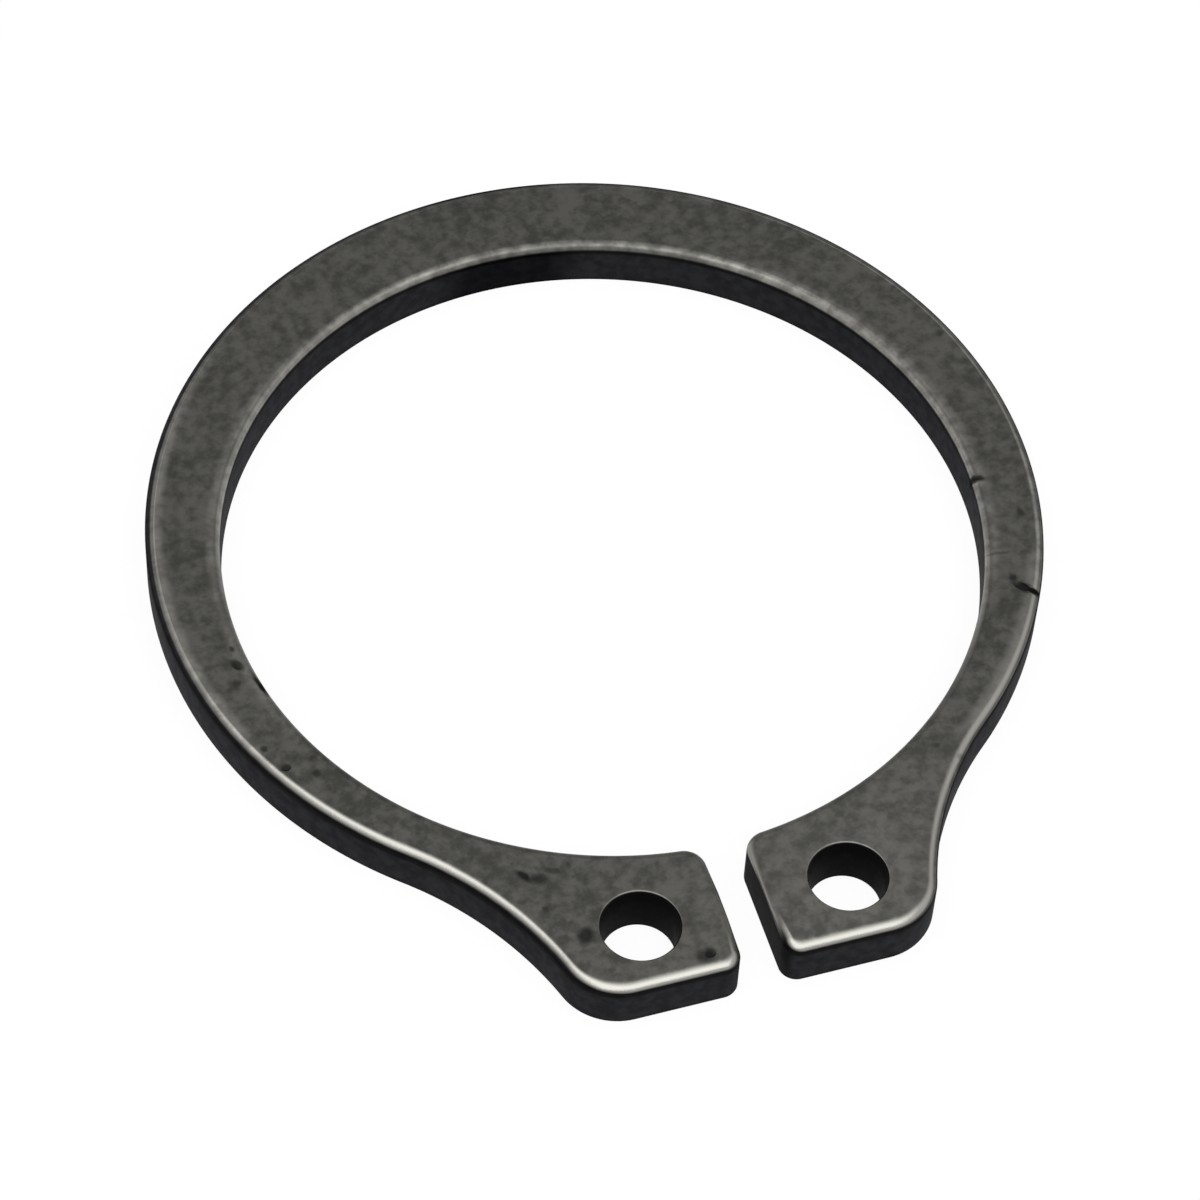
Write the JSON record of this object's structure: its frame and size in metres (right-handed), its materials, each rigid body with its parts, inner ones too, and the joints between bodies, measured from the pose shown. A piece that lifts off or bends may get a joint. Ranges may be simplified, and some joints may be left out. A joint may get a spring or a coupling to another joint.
{
  "type": "external circlip retaining ring",
  "caption": "Flat eccentric spring-steel ring with an open gap and a pierced lug on each side, snapped into a shaft groove to hold a part endways.",
  "frame": {"origin": "centre of the inner edge, on the underside", "axes": "+Z along the shaft's axis, out of the face with the rolled edge; -Y through the middle of the gap; the ring is alike on both sides of the plane X = 0"},
  "size_m": [0.0306, 0.0338, 0.0019],
  "materials": {
    "phosphated_steel": "phosphated and oiled spring steel, dark mottled grey"
  },
  "bodies": {
    "root": {"retaining_ring": "phosphated_steel"}
  },
  "joints": []
}
